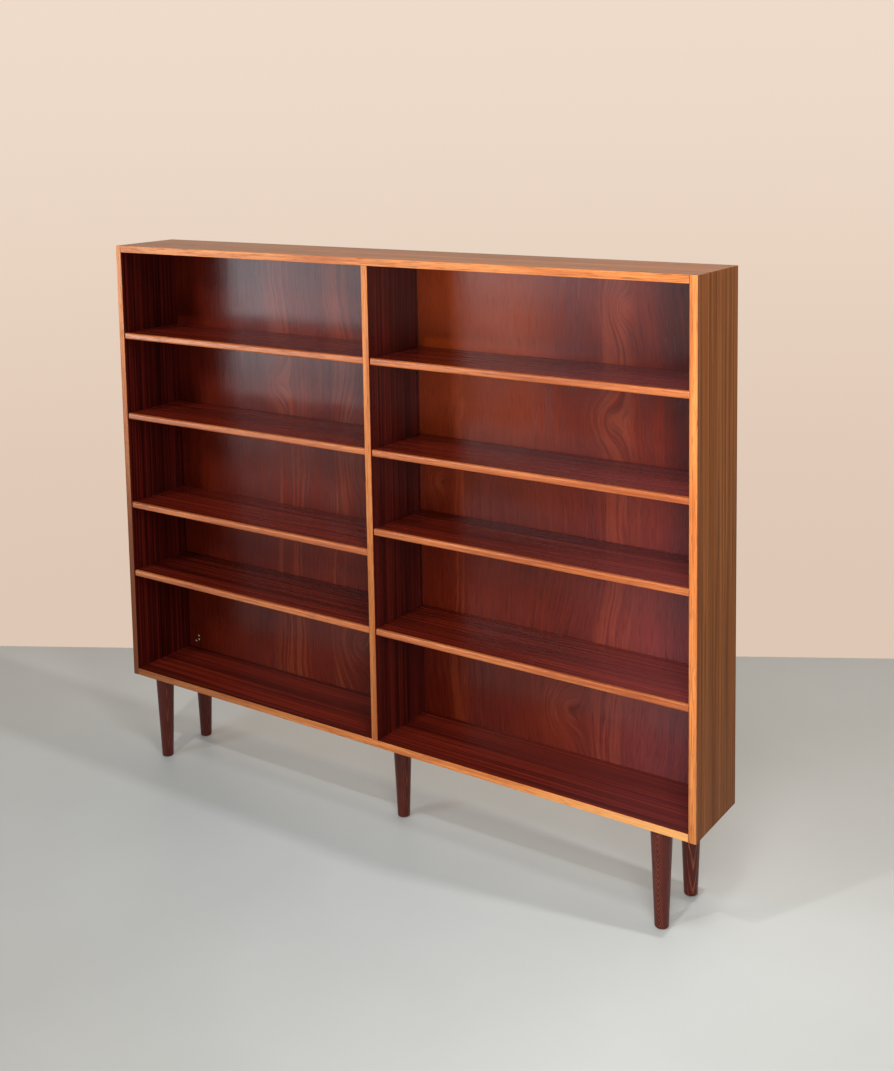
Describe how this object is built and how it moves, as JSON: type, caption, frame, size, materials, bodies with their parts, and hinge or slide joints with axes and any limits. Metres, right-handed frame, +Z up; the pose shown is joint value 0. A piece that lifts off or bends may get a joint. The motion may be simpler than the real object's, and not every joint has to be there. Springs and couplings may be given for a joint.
{
  "type": "bookcase with adjustable shelves",
  "caption": "Low wide veneered bookcase with two bays of height-adjustable shelves on hidden bent wires, open front, thin back panel and tapered turned legs.",
  "frame": {"origin": "on the floor, under the centre of the case", "axes": "+X to the right along the width, -Y out of the open front, +Z up"},
  "size_m": [1.52, 0.19, 1.29],
  "materials": {
    "case_veneer": "satin clear lacquer over straight-grained mahogany veneer",
    "inner_veneer": "satin clear lacquer over dark red-brown striped veneer",
    "back_veneer": "gloss clear lacquer over figured mahogany plywood",
    "lipping_wood": "satin clear lacquer over solid light mahogany",
    "leg_wood": "satin lacquer over dark stained beech",
    "steel": "bright drawn steel wire and zinc-plated fittings"
  },
  "bodies": {
    "case": {"left_side_panel": "case_veneer", "right_side_panel": "case_veneer", "top_panel": "case_veneer", "bottom_panel": "case_veneer", "centre_divider": "inner_veneer", "back_panel": "back_veneer", "left_side_lipping": "lipping_wood", "right_side_lipping": "lipping_wood", "divider_lipping": "lipping_wood", "top_lipping": "lipping_wood", "bottom_lipping": "lipping_wood", "front_left_leg": "leg_wood", "front_left_leg_bolt": "steel", "front_left_leg_insert": "steel", "rear_left_leg": "leg_wood", "rear_left_leg_bolt": "steel", "rear_left_leg_insert": "steel", "centre_leg": "leg_wood", "centre_leg_bolt": "steel", "centre_leg_insert": "steel", "front_right_leg": "leg_wood", "front_right_leg_bolt": "steel", "front_right_leg_insert": "steel", "rear_right_leg": "leg_wood", "rear_right_leg_bolt": "steel", "rear_right_leg_insert": "steel"},
    "left_shelf_1_wires": {"left_shelf_1_wire_left": "steel", "left_shelf_1_wire_right": "steel"},
    "left_shelf_1": {"left_shelf_1_board": "inner_veneer", "left_shelf_1_lipping": "lipping_wood"},
    "left_shelf_2_wires": {"left_shelf_2_wire_left": "steel", "left_shelf_2_wire_right": "steel"},
    "left_shelf_2": {"left_shelf_2_board": "inner_veneer", "left_shelf_2_lipping": "lipping_wood"},
    "left_shelf_3_wires": {"left_shelf_3_wire_left": "steel", "left_shelf_3_wire_right": "steel"},
    "left_shelf_3": {"left_shelf_3_board": "inner_veneer", "left_shelf_3_lipping": "lipping_wood"},
    "left_shelf_4_wires": {"left_shelf_4_wire_left": "steel", "left_shelf_4_wire_right": "steel"},
    "left_shelf_4": {"left_shelf_4_board": "inner_veneer", "left_shelf_4_lipping": "lipping_wood"},
    "right_shelf_1_wires": {"right_shelf_1_wire_left": "steel", "right_shelf_1_wire_right": "steel"},
    "right_shelf_1": {"right_shelf_1_board": "inner_veneer", "right_shelf_1_lipping": "lipping_wood"},
    "right_shelf_2_wires": {"right_shelf_2_wire_left": "steel", "right_shelf_2_wire_right": "steel"},
    "right_shelf_2": {"right_shelf_2_board": "inner_veneer", "right_shelf_2_lipping": "lipping_wood"},
    "right_shelf_3_wires": {"right_shelf_3_wire_left": "steel", "right_shelf_3_wire_right": "steel"},
    "right_shelf_3": {"right_shelf_3_board": "inner_veneer", "right_shelf_3_lipping": "lipping_wood"},
    "right_shelf_4_wires": {"right_shelf_4_wire_left": "steel", "right_shelf_4_wire_right": "steel"},
    "right_shelf_4": {"right_shelf_4_board": "inner_veneer", "right_shelf_4_lipping": "lipping_wood"}
  },
  "joints": [
    {"name": "left_shelf_1_height", "type": "slide", "parent": "case", "child": "left_shelf_1_wires", "axis": [0, 0, 1], "range_m": [-0.075, 0.075]},
    {"name": "left_shelf_1_pull_out", "type": "slide", "parent": "left_shelf_1_wires", "child": "left_shelf_1", "axis": [0, -1, 0], "range_m": [0, 0.15]},
    {"name": "left_shelf_2_height", "type": "slide", "parent": "case", "child": "left_shelf_2_wires", "axis": [0, 0, 1], "range_m": [-0.075, 0.075]},
    {"name": "left_shelf_2_pull_out", "type": "slide", "parent": "left_shelf_2_wires", "child": "left_shelf_2", "axis": [0, -1, 0], "range_m": [0, 0.15]},
    {"name": "left_shelf_3_height", "type": "slide", "parent": "case", "child": "left_shelf_3_wires", "axis": [0, 0, 1], "range_m": [-0.075, 0.075]},
    {"name": "left_shelf_3_pull_out", "type": "slide", "parent": "left_shelf_3_wires", "child": "left_shelf_3", "axis": [0, -1, 0], "range_m": [0, 0.15]},
    {"name": "left_shelf_4_height", "type": "slide", "parent": "case", "child": "left_shelf_4_wires", "axis": [0, 0, 1], "range_m": [-0.075, 0.075]},
    {"name": "left_shelf_4_pull_out", "type": "slide", "parent": "left_shelf_4_wires", "child": "left_shelf_4", "axis": [0, -1, 0], "range_m": [0, 0.15]},
    {"name": "right_shelf_1_height", "type": "slide", "parent": "case", "child": "right_shelf_1_wires", "axis": [0, 0, 1], "range_m": [-0.075, 0.075]},
    {"name": "right_shelf_1_pull_out", "type": "slide", "parent": "right_shelf_1_wires", "child": "right_shelf_1", "axis": [0, -1, 0], "range_m": [0, 0.15]},
    {"name": "right_shelf_2_height", "type": "slide", "parent": "case", "child": "right_shelf_2_wires", "axis": [0, 0, 1], "range_m": [-0.075, 0.075]},
    {"name": "right_shelf_2_pull_out", "type": "slide", "parent": "right_shelf_2_wires", "child": "right_shelf_2", "axis": [0, -1, 0], "range_m": [0, 0.15]},
    {"name": "right_shelf_3_height", "type": "slide", "parent": "case", "child": "right_shelf_3_wires", "axis": [0, 0, 1], "range_m": [-0.075, 0.075]},
    {"name": "right_shelf_3_pull_out", "type": "slide", "parent": "right_shelf_3_wires", "child": "right_shelf_3", "axis": [0, -1, 0], "range_m": [0, 0.15]},
    {"name": "right_shelf_4_height", "type": "slide", "parent": "case", "child": "right_shelf_4_wires", "axis": [0, 0, 1], "range_m": [-0.075, 0.075]},
    {"name": "right_shelf_4_pull_out", "type": "slide", "parent": "right_shelf_4_wires", "child": "right_shelf_4", "axis": [0, -1, 0], "range_m": [0, 0.15]}
  ]
}
